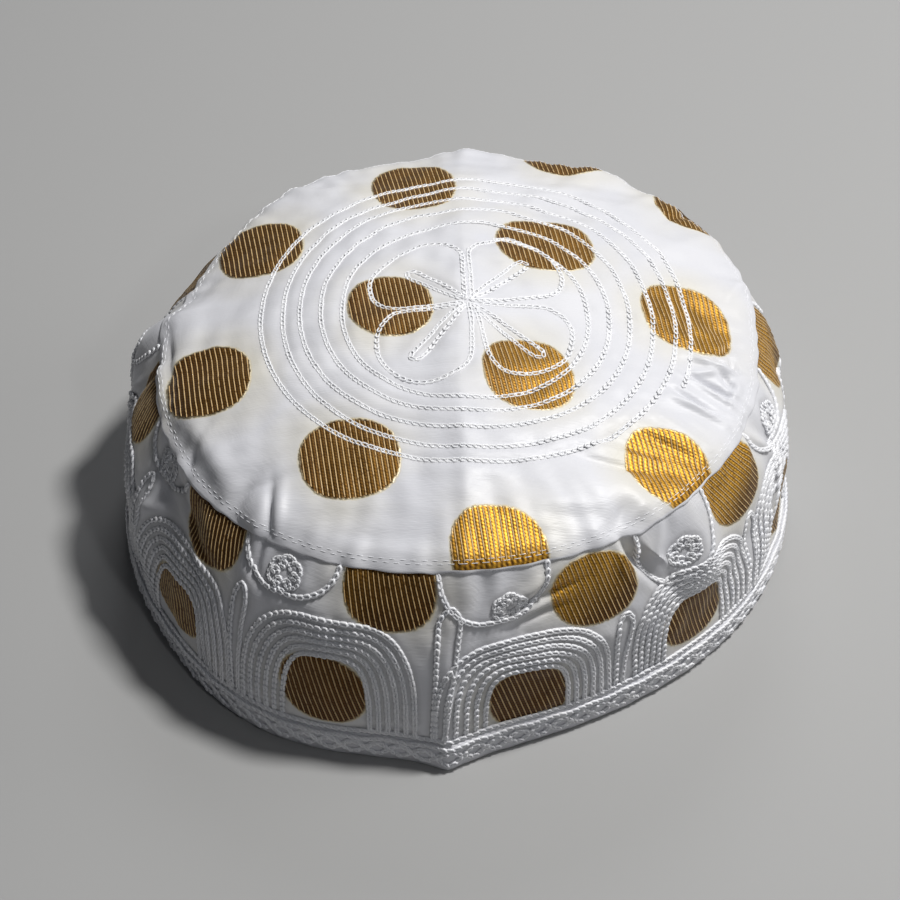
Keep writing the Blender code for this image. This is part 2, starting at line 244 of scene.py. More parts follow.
def dot_fields(dots, x, y, wrap):
    """At places in millimetres: the distance to the nearest dot's edge, negative inside, the number of the
    rib, the way along it, and the tone, which is painted light: gold sheen where light falls, brown in shade."""
    nearest = np.full(np.shape(x), NO_DOT)
    rib, along, tone = (np.zeros(np.shape(x)) for _ in range(3))
    sheen_middle, sheen_up, sheen_right = BAND_PAINTED_SHEEN if wrap else CROWN_PAINTED_SHEEN
    for dot in dots:
        off_x = bearing_gap(x, dot.x) * BAND_MM_PER_DEGREE if wrap else x - dot.x
        off_y = y - dot.y
        across = (off_x + DOT_SLANT * off_y) / dot.half_x
        power_sum = np.abs(across) ** DOT_POWER + np.abs(off_y / dot.half_y) ** DOT_POWER
        distance = (power_sum ** (1.0 / DOT_POWER) - 1.0) * min(dot.half_x, dot.half_y)
        lean = math.radians(dot.lean)
        closer = distance < nearest
        nearest = np.where(closer, distance, nearest)
        rib = np.where(closer, (off_x * math.cos(lean) + off_y * math.sin(lean)) / RIB_PITCH, rib)
        along = np.where(closer, off_y * math.cos(lean) - off_x * math.sin(lean), along)
        # Painted sheen: the tone grows towards the side of the dot where light falls.
        painted_sheen = sheen_middle + sheen_up * off_y / dot.half_y + sheen_right * off_x / dot.half_x
        tone = np.where(closer, dot.tone * np.clip(painted_sheen, 0.05, 1.5), tone)
    return {"dot_edge": nearest, "rib": rib, "along": along, "tone": tone}


print("dots on the crown", len(CROWN_DOTS), "and on the band", len(BAND_DOTS))

# %% [markdown]
# ## Where the chain stitch runs
# A chain-stitch machine sews one line at a time, so every motif is a line. The lines could be drawn with
# Blender's curve tools, but short tables of points keep them beside the numbers that they have to fit. The
# crown has a flower of four petals on its crease, a hairpin in each petal, and one spiral round it all.
# Every line is laid on the flat plan first and goes onto the cloth later.

# %% Lines on the crown
def smooth_line(knots, step=1.0):
    """A smooth line through knots in millimetres, with a point about every step."""
    knots = np.array(knots, float)
    knots = np.vstack([2 * knots[0] - knots[1], knots, 2 * knots[-1] - knots[-2]])
    pieces = []
    for before, here, after, later in zip(knots[:-3], knots[1:-2], knots[2:-1], knots[3:]):
        count = max(2, int(np.linalg.norm(after - here) / step))
        pieces.append(smooth_between(before, here, after, later, np.arange(count)[:, None] / count))
    return np.vstack(pieces + [knots[-2][None]])


FLOWER = (5.0, 1.0)
PETALS = (
    ((3, 0.6), (-4, 0.3), (-14, 0.3), (-18, 3), (-20, 8), (-19.5, 14), (-14, 21), (-10, 24), (-6, 26.3),
     (-2, 26.5), (2, 25), (4.3, 21), (4.4, 12), (4.5, 3)),
    ((3, -0.6), (-4, -1.0), (-12, -1.5), (-15, -3), (-18, -8), (-18.7, -13), (-18, -18), (-15.5, -23),
     (-12, -26), (-8, -27.3), (-4, -27), (-1, -26), (3, -23.5), (5.3, -19), (5.8, -8), (5.5, -1)),
    ((6.3, 3), (6.4, 12), (6.2, 21), (7, 24), (10, 27), (16, 29.5), (20, 28), (24, 25), (28, 21), (30, 16),
     (30.5, 12), (29.5, 8), (27, 5.5), (24, 4.5), (15, 2.6), (7, 1.6)),
    ((8, 0.4), (24, 0.5), (27, -0.5), (30, -3), (31.7, -8), (31, -14), (29, -19), (25, -22.5), (20, -24.5),
     (15, -24.5), (12, -22.5), (10, -19), (9, -14), (7.5, -4), (6.5, -1)),
)
HAIRPIN_TIPS = ((-10, 15), (-9.5, -19.5), (21, 18.5), (23.5, -18))
HAIRPIN_HALF = 1.5

# Radius of the spiral at each quarter turn, clockwise from the right: right, front, left, back, right, ...
SPIRAL_RADII = (31.3, 34.2, 32.5, 35.5, 37.0, 38.5, 38.0, 42.5, 42.5, 43.5, 43.5, 49.0, 48.5, 49.3, 48.0,
                54.5, 54.5, 53.3, 53.8, 60.0, 58.5)
SPIRAL_START, SPIRAL_END, SPIRAL_STEP, SPIRAL_SQUARE, SPIRAL_LEAD_IN = -0.8, 20.25, 0.015, 0.9, 1.6


def spiral_line():
    quarter = np.arange(SPIRAL_START, SPIRAL_END, SPIRAL_STEP)
    knots = np.arange(len(SPIRAL_RADII))
    smooth = smooth_line(np.stack([knots, SPIRAL_RADII], 1), step=0.1)
    radius = np.interp(quarter, smooth[:, 0], smooth[:, 1])
    radius = radius + SPIRAL_SQUARE * np.sin(quarter * math.pi) ** 2
    radius = np.where(quarter < 0, SPIRAL_RADII[0] + SPIRAL_LEAD_IN * quarter, radius)
    turn = -quarter * math.pi / 2
    return np.stack([FLOWER[0] + radius * np.cos(turn), FLOWER[1] + radius * np.sin(turn)], 1)


def hairpin_line(tip):
    """Out from the flower's middle to the tip, round it, and back."""
    middle, tip = np.array(FLOWER), np.array(tip, float)
    run = (tip - middle) / np.linalg.norm(tip - middle)
    side = np.array([-run[1], run[0]])
    length = np.linalg.norm(tip - middle)
    return smooth_line([middle + run * length * share + side * HAIRPIN_HALF * width for share, width in (
        (0.10, 0.35), (0.35, 0.75), (0.65, 0.9), (0.88, 1.05), (0.97, 0.75), (1.0, 0.0), (0.97, -0.75),
        (0.88, -1.05), (0.65, -0.9), (0.35, -0.75), (0.10, -0.35))], step=0.7)


CROWN_LINES = [spiral_line()] + [smooth_line(petal) for petal in PETALS]
CROWN_LINES += [hairpin_line(tip) for tip in HAIRPIN_TIPS]
print("chain lines on the crown, mm:",
      round(sum(float(np.linalg.norm(np.diff(line, axis=0), axis=1).sum()) for line in CROWN_LINES)))

# %% [markdown]
# The band carries eleven arches, each of six nested rows round a lower dot, with a hairpin between
# neighbours. Ten hanging scallops, each with a rosette, fill the spaces between the upper dots. A row runs
# along the foot. On the hem strip, two waves cross each other under a straight row. The motifs that face the
# front have rows of their own, and those behind repeat at even steps.

# %% Lines on the band and the hem strip
Arch = namedtuple("Arch", "bearing left right step_left step_right top step_top")
ARCHES = [Arch(*row) for row in (
    (-53, 10, 10.5, 2.2, 2.2, 28.5, 2.0), (-21.5, 10.2, 10.8, 2.15, 2.15, 31.5, 1.95),
    (10, 9.0, 12.4, 2.4, 2.35, 26.6, 1.7), (44.5, 10.4, 11.2, 1.85, 2.3, 28.2, 1.75))]
ARCHES += [Arch(bearing, 10.8, 10.8, 2.1, 2.1, 30, 1.9)
           for bearing in (77, 110, 143, 176, -151, -118.5, -86)]
ARCH_ROWS, ARCH_FOOT, ARCH_POWER = 6, 10.3, 3.4

# A hairpin crosses its bearing at the middle height, and leans left by its lean for each run of height (mm).
Hairpin = namedtuple("Hairpin", "bearing half_width top lean")
PIN_MIDDLE, PIN_RUN = 25, 20
BAND_HAIRPINS = [Hairpin(*row) for row in (
    (-37.2, 2.0, 42, 0.5), (-2.5, 2.7, 46, -1.3), (29.0, 2.2, 33, -1.0), (61.3, 2.2, 35, 0.5))]
BAND_HAIRPINS += [Hairpin(bearing, 2.2, 42, 0)
                  for bearing in (93.5, 126.5, 159.5, -167.5, -134.7, -102.2, -69.5)]

# Each scallop hangs from the seam between two upper dots: its middle, half width, foot and rosette.
Scallop = namedtuple("Scallop", "bearing half_width foot rosette_bearing rosette_height")
SCALLOPS = [Scallop(*row) for row in (
    (-66.8, 14, 44.5, -66.8, 48), (-30.3, 14, 44.2, -30.5, 48.2), (6.0, 14.5, 41.3, 8.5, 44.5),
    (41.5, 13, 35, 42.5, 42.5), (77, 14, 42, 78, 46.5), (113, 14, 43, 113, 47.5), (149, 14, 44, 149, 48.5),
    (-175, 14, 44, -175, 48.5), (-139, 14, 44, -139, 48.5), (-105, 13, 40.5, -105, 43.5))]
SCALLOP_TOP, FOOT_ROW_HEIGHT = 53.0, 8.9
ROSETTE_RADIUS, ROSETTE_RING, ROSETTE_LOOP, ROSETTE_TURNS = 4.1, 0.70, 0.30, 7
ROSETTE_WIDTH, ROSETTE_HEIGHT = 1.12, 0.85
WAVE_HEIGHT, WAVE_RISE, WAVE_COUNT = 3.9, 1.7, 48
STRAIGHT_ROW_HEIGHT, STRAIGHT_ROW_SWAY, STRAIGHT_ROW_WAVES = 7.1, 0.2, 53


def arch_line(arch, row):
    """One row of an arch, from its left foot over the top to its right foot, as bearings and heights."""
    t = np.linspace(math.pi, 0.0, 90)
    half = np.where(np.cos(t) < 0, arch.left + row * arch.step_left, arch.right + row * arch.step_right)
    x = half * np.sign(np.cos(t)) * np.abs(np.cos(t)) ** (2 / ARCH_POWER)
    y = ARCH_FOOT + (arch.top + row * arch.step_top - ARCH_FOOT) * np.sin(t) ** (2 / ARCH_POWER)
    return np.stack([arch.bearing + x / BAND_MM_PER_DEGREE, y], 1)


def band_hairpin_line(pin):
    rows = [(-0.7, ARCH_FOOT), (-0.8, 20), (-1.0, pin.top - 8), (-0.92, pin.top - 2.5), (0, pin.top),
            (0.92, pin.top - 2.5), (0.9, pin.top - 8), (0.5, 20), (0.3, ARCH_FOOT)]
    line = smooth_line([(side * pin.half_width, height) for side, height in rows])
    x = line[:, 0] - pin.lean * (line[:, 1] - PIN_MIDDLE) / PIN_RUN
    return np.stack([pin.bearing + x / BAND_MM_PER_DEGREE, line[:, 1]], 1)


def scallop_line(scallop):
    drop = SCALLOP_TOP - scallop.foot
    rows = [(-1, 0), (-0.93, 0.35), (-0.72, 0.72), (-0.35, 0.97), (0, 1.0), (0.35, 0.97), (0.72, 0.72),
            (0.93, 0.35), (1, 0)]
    line = smooth_line([(x * scallop.half_width, SCALLOP_TOP - drop * y) for x, y in rows])
    return np.stack([scallop.bearing + line[:, 0] / BAND_MM_PER_DEGREE, line[:, 1]], 1)


def rosette_line(scallop):
    """A rosette of six small loops round an open middle."""
    t = np.linspace(0.0, 2 * math.pi, 121)
    x = ROSETTE_RADIUS * (ROSETTE_RING * np.cos(t) - ROSETTE_LOOP * np.cos(ROSETTE_TURNS * t))
    y = ROSETTE_RADIUS * (ROSETTE_RING * np.sin(t) - ROSETTE_LOOP * np.sin(ROSETTE_TURNS * t))
    return np.stack([scallop.rosette_bearing + x * ROSETTE_WIDTH / BAND_MM_PER_DEGREE,
                     scallop.rosette_height + y * ROSETTE_HEIGHT], 1)


def round_line(height, rise=0.0, count=0, phase=0.0):
    """A line all the way round, straight or waving."""
    bearing = np.arange(0.0, 360.5, 0.5)
    return np.stack([bearing, height + rise * np.sin(np.radians(bearing * count) + phase)], 1)


ARCH_LINES = [arch_line(arch, row) for arch in ARCHES for row in range(ARCH_ROWS)]
VINE_LINES = ([band_hairpin_line(pin) for pin in BAND_HAIRPINS] + [scallop_line(s) for s in SCALLOPS]
              + [round_line(FOOT_ROW_HEIGHT)])
ROSETTE_LINES = [rosette_line(scallop) for scallop in SCALLOPS]
HEM_LINES = [round_line(WAVE_HEIGHT, WAVE_RISE, WAVE_COUNT, phase) for phase in (0.0, math.pi)]
HEM_LINES += [round_line(STRAIGHT_ROW_HEIGHT, STRAIGHT_ROW_SWAY, STRAIGHT_ROW_WAVES)]
print("lines on the band:", len(ARCH_LINES), "in arches,", len(VINE_LINES), "in vines")
print("rosettes", len(ROSETTE_LINES), "lines on the hem", len(HEM_LINES))

# %% [markdown]
# ## Small folds in the cloth
# Satin is thin and slippery, so it shows every pull of a thread. Cloth simulation could find such folds, but
# not the ones of this cap, so they are laid in by rule: the cloth dips at each chain line and puffs up
# between them, gathers run away from the seam, and a few sharp creases have rows of their own. Slow ripples
# made of waves in space run over crown and band alike, so they match across the seam.

# %% Relief of the cloth
# Depth of the dip under a thread and its half width, in millimetres.
DIP_CROWN, DIP_BAND, DIP_WIDTH = 0.24, 0.30, 1.4
# How far the crown's sewn edge stands proud, and over what width.
EDGE_PROUD, CROWN_PROUD_REACH = 0.45 * MM, 3.0 * MM
STRIP_PROUD, STRIP_RIPPLE, STRIP_WAVELENGTH, STRIP_SEED = 0.62, 0.10, 9, 8

# Sharp creases: the same columns as the folds above.
CROWN_CREASES = [Fold(*row) for row in (
    (-45.7, -59, 88, 6.5, 1.1, -1.5), (-48, -52, 8, 6, 1.3, -0.6), (-43.2, -60, 84, 7, 1.4, 0.6),
    (-50, -53, 72, 9, 3.6, 0.9), (-61.5, -38, -63, 18, 2.6, 1.1), (-67.5, -34, -63, 19, 2.8, -0.9),
    (-72.6, -3, 91, 13, 1.1, -1.1), (-74.8, -3, 90, 14, 1.4, 0.8), (-71, 25, 20, 9, 1.6, -0.9),
    (-72, 14, 10, 7, 1.5, 0.7), (40, -50, -4, 9, 1.5, -1.2), (52, -41, -22, 11, 1.8, -1.0),
    (47, -46, -8, 12, 1.6, 0.9), (58, -36, -28, 10, 1.8, 0.7), (68, -22, -40, 12, 3.6, 1.2),
    (73, -30, -30, 5, 1.2, 0.9), (70, -10.2, -8, 5.5, 0.95, -1.5), (69.5, -12.4, -12, 6, 1.1, 1.1),
    (67.5, -19.5, -23, 6.5, 1.0, -1.6), (67, -21.6, -26, 7, 1.1, 1.3), (62.8, -26, -24, 6.5, 1.0, -1.6),
    (62.5, -28.4, -20, 7, 1.2, 1.2), (74.2, -10, -80, 4.5, 0.95, -1.3), (73.3, -20, 72, 5.5, 1.1, 1.2),
    (71, -16, -55, 5, 0.95, -1.3), (72.5, -5, 60, 4, 0.95, -1.1), (66, -15, 12, 4.5, 1.0, 0.9),
    (39, -66, 62, 5, 1.8, -1.1), (43, -64, 50, 5, 1.6, 0.7), (60, 30, 40, 14, 3, 0.6),
    (30, -62, 6, 14, 3, 0.6), (-40, 66, -30, 10, 3, 0.7), (-66, -36, 60, 8, 2.0, -0.8),
    (78, 20, 60, 6, 1.5, 0.8), (66, 50, 40, 6, 1.6, -0.8))]
BAND_CREASES = [Fold(*row) for row in (
    (12.5, 48.5, 62, 7, 1.5, 1.3), (16.5, 45.5, 78, 8, 1.3, -1.3), (4, 49, 30, 5, 1.8, -0.8),
    (13.5, 40.3, 80, 7, 1.0, -1.2), (12, 42.3, 78, 8, 1.2, 0.9), (33.2, 45.5, -30, 8.5, 1.3, -1.9),
    (37, 45.5, -33, 13, 3.4, 3.3), (45, 37, -10, 8.5, 7, 1.6), (30, 47, -15, 6, 1.6, 1.0),
    (-36.2, 49, 0, 5, 1.2, -1.1), (-60, 48, -86, 16, 3, -1.2), (70.5, 30, 35, 7, 1.0, -1.6),
    (72.8, 31, 35, 7, 1.1, 0.9), (-54, 44, -72, 12, 1.8, -1.2), (-50, 40, -65, 10, 2.0, 0.8),
    (-66, 36, 60, 9, 2.2, 0.9), (-74, 30, 25, 9, 2, -0.8), (72, 44, -30, 9, 1.8, 1.0),
    (76, 40, -35, 9, 1.6, -1.0), (88, 22, 35, 9, 1.2, -1.3), (66, 50, 40, 5, 1.6, 0.7),
    (38, 49, 20, 6, 1.6, 0.9), (31, 50, -10, 5, 1.6, -0.8), (-95, 40, 20, 10, 2.0, 1.0),
    (100, 36, -20, 10, 2.2, 0.8), (122, 40, 25, 10, 2.2, -0.8), (150, 44, -30, 10, 2.2, 0.8),
    (-170, 40, 30, 10, 2.2, -0.8), (-140, 42, -20, 10, 2.2, 0.8))]

# Gathers: pleats round the cap in each wave, their depth, and how far they run from the seam (mm).
GATHER_COUNTS = (31, 47, 58, 73, 89)
GATHER, GATHER_SEED = 0.27, 6
GATHER_REACH_CROWN, GATHER_REACH_BAND = 7.0, 9.0
# Slow and quick ripples: depth, wavelength (mm) and seed.
RIPPLES = ((0.34, 18, 3), (0.13, 7, 4))
# The band is smooth under the hem strip, and has its full relief from the second height up (mm).
RELIEF_START = (7.5, 11.0)


def ripples(points, wavelength, seed, waves=9):
    """Smooth noise between about -1 and 1: a sum of waves that run in all directions of space."""
    random = np.random.default_rng(seed)
    total = np.zeros(points.shape[:-1])
    for _ in range(waves):
        run = random.normal(size=3)
        run *= random.uniform(0.75, 1.35) * 2 * math.pi / (wavelength * MM * np.linalg.norm(run))
        total += np.cos(points @ run + random.uniform(0, 2 * math.pi))
    return total / math.sqrt(waves / 2) / 1.6


def gathers(bearing, seed):
    """Uneven small pleats, as a function of the bearing."""
    random = np.random.default_rng(seed)
    total = 0.0
    for count in GATHER_COUNTS:
        phase, strength = random.uniform(0, 6.28), random.uniform(0.5, 1.0)
        total = total + np.cos(np.radians(bearing * count) + phase) * strength
    return total / 1.8


def tree_of(lines, wrap):
    """A search tree of line points in millimetres. Round lines are repeated past both ends."""
    points = np.vstack(lines)
    if wrap:
        points = np.vstack([(points - [turn, 0]) * [BAND_MM_PER_DEGREE, 1] for turn in (-360, 0, 360)])
    tree = KDTree(len(points))
    for index, (x, y) in enumerate(points):
        tree.insert((x, y, 0.0), index)
    tree.balance()
    return tree


def distance_to(tree, x, y):
    flat = np.stack([x.ravel(), y.ravel()], 1)
    return np.array([tree.find((a, b, 0.0))[2] for a, b in flat]).reshape(x.shape)


CROWN_TREE = tree_of(CROWN_LINES, False)
BAND_TREE = tree_of(ARCH_LINES + VINE_LINES + ROSETTE_LINES, True)


def common_relief(skin, bearing, from_seam, reach):
    """Ripples and gathers in millimetres, the same on both sides of the crown seam."""
    slow = sum(depth * ripples(skin, wavelength, seed) for depth, wavelength, seed in RIPPLES)
    return slow + GATHER * gathers(bearing, GATHER_SEED) * np.exp(-from_seam / reach)


def crown_cloth(bearing, share):
    """Finished face of the crown and its outward directions."""
    skin, normal = crown_skin(bearing, share), outward(crown_skin, bearing, share)
    radius = share * section_value("seam_radius", bearing)
    flat = round_point(bearing, radius, 0.0)
    x, y = flat[..., 0], flat[..., 1]
    from_edge = (section_value("seam_radius", bearing) - radius) / MM
    dip = np.exp(-(distance_to(CROWN_TREE, x / MM, y / MM) / DIP_WIDTH) ** 2)
    relief = (common_relief(skin, bearing, from_edge, GATHER_REACH_CROWN) - DIP_CROWN * dip) * MM
    proud = EDGE_PROUD * np.exp(-from_edge * MM / CROWN_PROUD_REACH)
    relief = relief + crown_bumps(CROWN_CREASES, x, y) + proud
    return skin + normal * relief[..., None], normal


def band_cloth(bearing, share):
    """Finished face of the band and its outward directions."""
    skin, normal = band_skin(bearing, share), outward(band_skin, bearing, share)
    seam_height = section_value("seam_height", bearing)
    height = share * seam_height
    below_seam = (seam_height - height) / MM
    from_line = distance_to(BAND_TREE, bearing_gap(bearing, 0) * BAND_MM_PER_DEGREE, height / MM)
    dip = np.exp(-(from_line / DIP_WIDTH) ** 2)
    relief = (common_relief(skin, bearing, below_seam, GATHER_REACH_BAND) - DIP_BAND * dip) * MM
    relief = (relief + band_bumps(BAND_CREASES, bearing, height)) * smooth_step(height / MM, *RELIEF_START)
    return skin + normal * relief[..., None], normal


def strip_cloth(bearing, share):
    """Finished face of the hem strip, a little prouder than the band."""
    skin, normal = band_skin(bearing, share), outward(band_skin, bearing, share)
    proud = STRIP_PROUD + STRIP_RIPPLE * ripples(skin, STRIP_WAVELENGTH, STRIP_SEED)
    return skin + normal * proud[..., None] * MM, normal


print("sharp creases", len(CROWN_CREASES) + len(BAND_CREASES))

# %% [markdown]
# ## The three sewn pieces of cloth
# Each piece is a closed wall: a fine outer face that carries the folds, a plainer inner face, and the turned
# edges between them. A Solidify modifier could give the thickness, but the inner face needs far fewer
# points, so both are lofted here as rings. Each point keeps its distance to the nearest dot and the nearest
# thread, the number of its rib, the way along the rib and its tone, and the cloth's material reads them.

# %% Weave the rings into closed meshes
CROWN_COLUMNS, CROWN_RINGS, CROWN_INNER = 720, 108, 14
BAND_COLUMNS, BAND_ROWS, BAND_INNER = 720, 84, 14
STRIP_COLUMNS = 540
BAND_WALL, CROWN_WALL, SEWN_GAP = 1.6 * MM, 1.5 * MM, 0.3 * MM
FIRST_SHARE, PLAIN_VALUE = 0.006, 20.0
# The crown's turned edge hangs over the band by an uneven drop (mm). Its section gives shares of that drop,
# and how proud of the band the edge stands there.
LIP_DROP, LIP_RAGGED, LIP_SEED, LIP_RANGE = 0.7, 0.16, 9, (0.4, 2.0)
LIP_SECTION = ((0.5, 0.44), (0.9, 0.39), (1.0, 0.27), (0.95, 0.13), (0.4, 0.09))
# The hem strip: height, and how proud of its face it stands (mm).
STRIP_SECTION = (
    (0.0, -0.45), (0.15, -0.12), (0.6, 0.0), (1.6, 0.08), (2.8, 0.10), (4.0, 0.12), (5.2, 0.10),
    (6.4, 0.06), (7.3, 0.0), (7.8, -0.14), (8.0, -0.45), (8.0, -2.1), (6.0, -2.25), (4.0, -2.25),
    (2.0, -2.25), (0.0, -2.1), (0.0, -1.2))


def add_object(name, data):
    made = bpy.data.objects.new(name, data)
    bpy.context.scene.collection.objects.link(made)
    return made


def ring_mesh(name, rings, fields, closed, poles=None):
    """A smooth closed mesh from rings of points, joined end to end or capped by two poles."""
    columns = len(rings[0])
    points = np.concatenate(list(rings) + ([poles] if poles is not None else []))
    total = len(rings) * columns
    column = np.arange(columns)
    beside = (column + 1) % columns
    faces = []
    for ring in range(len(rings) if closed else len(rings) - 1):
        low, high = ring * columns, ((ring + 1) % len(rings)) * columns
        faces += np.stack([low + column, low + beside, high + beside, high + column], 1).tolist()
    if poles is not None:
        last = total - columns
        faces += np.stack([last + column, last + beside, np.full(columns, total + 1)], 1).tolist()
        faces += np.stack([beside, column, np.full(columns, total)], 1).tolist()
    mesh = bpy.data.meshes.new(name)
    mesh.from_pydata((points + np.array(AXIS)).tolist(), [], faces)
    if poles is not None:
        # Rings that run out from a middle give faces that point into the wall.
        mesh.flip_normals()
    mesh.shade_smooth()
    for field, values in fields.items():
        mesh.attributes.new(field, "FLOAT", "POINT").data.foreach_set("value", values.astype(np.float32))
    print(name, "points", len(mesh.vertices), "faces", len(mesh.polygons))
    return add_object(name, mesh)


def with_blank(fields, count):
    """The fields of an outer face, followed by values of plain cloth for the rest of a mesh's points."""
    return {name: np.append(values.ravel(), np.full(count - values.size, PLAIN_VALUE))
            for name, values in fields.items()}


def crown_lip(bearing):
    """Rings of the crown's turned edge, which lies unevenly over the band's top and turns under."""
    drop = np.clip(LIP_DROP * (1.0 + LIP_RAGGED * gathers(bearing, LIP_SEED)), *LIP_RANGE)
    seam_height = section_value("seam_height", bearing) / MM
    rings = []
    for share, proud in LIP_SECTION:
        cloth, normal = band_cloth(bearing, 1.0 - share * drop / seam_height)
        rings.append(cloth + normal * proud * MM)
    return rings


def bearings_round(columns):
    return 360.0 * np.arange(columns) / columns


def make_crown():
    bearing = bearings_round(CROWN_COLUMNS)
    shares = np.linspace(FIRST_SHARE, 1.0, CROWN_RINGS)
    grid_b, grid_s = np.meshgrid(bearing, shares)
    outer = crown_cloth(grid_b, grid_s)[0]
    edge_normal = outward(band_skin, bearing, np.ones(CROWN_COLUMNS))
    outer[-1] = band_cloth(bearing, np.ones(CROWN_COLUMNS))[0] + edge_normal * EDGE_PROUD
    inner_shares = np.linspace(1.0, FIRST_SHARE, CROWN_INNER)
    inner_b, inner_s = np.meshgrid(bearing, inner_shares)
    inner = crown_skin(inner_b, inner_s) - outward(crown_skin, inner_b, inner_s) * CROWN_WALL
    inner[0] = crown_skin(bearing, np.ones(CROWN_COLUMNS)) - edge_normal * CROWN_WALL
    middle = crown_cloth(np.zeros(1), np.zeros(1))[0]
    poles = np.vstack([middle, crown_skin(np.zeros(1), np.zeros(1)) - [[0, 0, CROWN_WALL]]])
    flat = round_point(grid_b, grid_s * section_value("seam_radius", grid_b), 0.0) / MM
    fields = dot_fields(CROWN_DOTS, flat[..., 0], flat[..., 1], False)
    fields["from_line"] = distance_to(CROWN_TREE, flat[..., 0], flat[..., 1])
    rings = list(outer) + crown_lip(bearing) + list(inner)
    fields = with_blank(fields, len(rings) * CROWN_COLUMNS + len(poles))
    return ring_mesh("crown_cloth", rings, fields, False, poles)


def make_band():
    bearing = bearings_round(BAND_COLUMNS)
    seam_height = section_value("seam_height", bearing)
    foot, head = (STRIP_HEIGHT + SEWN_GAP) / seam_height, 1.0 - SEWN_GAP / seam_height
    steps = np.linspace(0, 1, BAND_ROWS)[:, None]
    grid_b = np.broadcast_to(bearing, (BAND_ROWS, BAND_COLUMNS))
    grid_s = foot + (head - foot) * steps
    outer = band_cloth(grid_b, grid_s)[0]
    inner_steps = np.linspace(1, 0, BAND_INNER)[:, None]
    inner_b = np.broadcast_to(bearing, (BAND_INNER, BAND_COLUMNS))
    inner_s = foot + (head - foot) * inner_steps
    inner = band_skin(inner_b, inner_s) - outward(band_skin, inner_b, inner_s) * BAND_WALL
    outer[0][:, 2] = inner[-1][:, 2] = STRIP_HEIGHT + SEWN_GAP
    height = grid_s * seam_height / MM
    fields = dot_fields(BAND_DOTS, grid_b, height, True)
    fields["from_line"] = distance_to(BAND_TREE, bearing_gap(grid_b, 0) * BAND_MM_PER_DEGREE, height)
    rings = list(outer) + list(inner)
    return ring_mesh("side_band_cloth", rings, with_blank(fields, len(rings) * BAND_COLUMNS), True)


def make_strip():
    """The strip's section goes up its outer face, over the turned top edge and down inside."""
    bearing = bearings_round(STRIP_COLUMNS)
    seam_height = section_value("seam_height", bearing)
    rings = []
    for height, proud in STRIP_SECTION:
        shares = height * MM / seam_height
        cloth, normal = strip_cloth(bearing, shares)
        ring = cloth + normal * proud * MM
        ring[:, 2] = height * MM
        rings.append(ring)
    return ring_mesh("hem_strip_cloth", rings, {}, True)


crown_piece, band_piece, strip_piece = make_crown(), make_band(), make_strip()

# %% [markdown]
# ## Writing node trees as expressions
# Materials and Geometry Nodes are both trees of sockets. Adding nodes one by one makes long code, so one
# small class wraps an output socket and turns + - * / into Math nodes, and one method adds any other node:
# its settings go in first, then the values or links of its inputs.

# %% Wire and Graph
class Wire:
    """An output socket. Arithmetic on it adds Math nodes."""

    def __init__(self, graph, socket):
        self.graph, self.socket = graph, socket

    def out(self, name):
        return Wire(self.graph, self.socket.node.outputs[name])

    def maths(self, operation, *values, clamp=False):
        settings = {"operation": operation, "use_clamp": clamp}
        return self.graph.node("ShaderNodeMath", settings, dict(enumerate(values)))

    __add__ = __radd__ = lambda self, other: self.maths("ADD", self, other)
    __sub__ = lambda self, other: self.maths("SUBTRACT", self, other)
    __rsub__ = lambda self, other: self.maths("SUBTRACT", other, self)
    __mul__ = __rmul__ = lambda self, other: self.maths("MULTIPLY", self, other)
    __truediv__ = lambda self, other: self.maths("DIVIDE", self, other)

    def clamped(self):
        return self.maths("ADD", self, 0.0, clamp=True)

    def size(self):
        return self.maths("ABSOLUTE", self)

    def fold(self, period):
        """A zigzag between 0 and the period."""
        return self.maths("PINGPONG", self, period)


class Graph:
    """A material's or a geometry tree, written as expressions."""

    def __init__(self, tree):
        self.tree = tree

    def put(self, socket, value):
        if isinstance(value, Wire):
            self.tree.links.new(value.socket, socket)
        else:
            socket.default_value = value

    def node(self, kind, settings=None, inputs=None, output=0):
        made = self.tree.nodes.new(kind)
        for name, value in (settings or {}).items():
            setattr(made, name, value)
        for name, value in (inputs or {}).items():
            self.put(made.inputs[name], value)
        return Wire(self, made.outputs[output]) if made.outputs else None

    def mix(self, factor, low, high):
        """A colour between two colours."""
        return self.node("ShaderNodeMix", {"data_type": "RGBA"}, {0: factor, 6: low, 7: high}, 2)

    def noise(self, place, scale, detail=2.0, roughness=0.5):
        return self.node("ShaderNodeTexNoise", None,
                         {"Vector": place, "Scale": scale, "Detail": detail, "Roughness": roughness})

    def bump(self, strength, distance, height):
        return self.node("ShaderNodeBump", None,
                         {"Strength": strength, "Distance": distance, "Height": height})

    def circle(self, points, radius):
        return self.node("GeometryNodeCurvePrimitiveCircle", {"mode": "RADIUS"},
                         {"Resolution": points, "Radius": radius}, "Curve")

    def attribute(self, name):
        return self.node("ShaderNodeAttribute", {"attribute_name": name}, None, "Fac")

    def object_place(self):
        return self.node("ShaderNodeTexCoord", None, None, "Object")

    def scaled(self, vector, factors):
        return self.node("ShaderNodeVectorMath", {"operation": "MULTIPLY"}, {0: vector, 1: factors})


def new_material(name):
    material = bpy.data.materials.new(name)
    material.use_nodes = True
    material.node_tree.nodes.clear()
    return material, Graph(material.node_tree)


def finish_material(graph, inputs):
    """A Principled surface from its inputs, joined to the output."""
    shader = graph.node("ShaderNodeBsdfPrincipled", None, inputs)
    graph.node("ShaderNodeOutputMaterial", None, {"Surface": shader})


print("expressions ready for", Graph.__name__, "and", Wire.__name__)
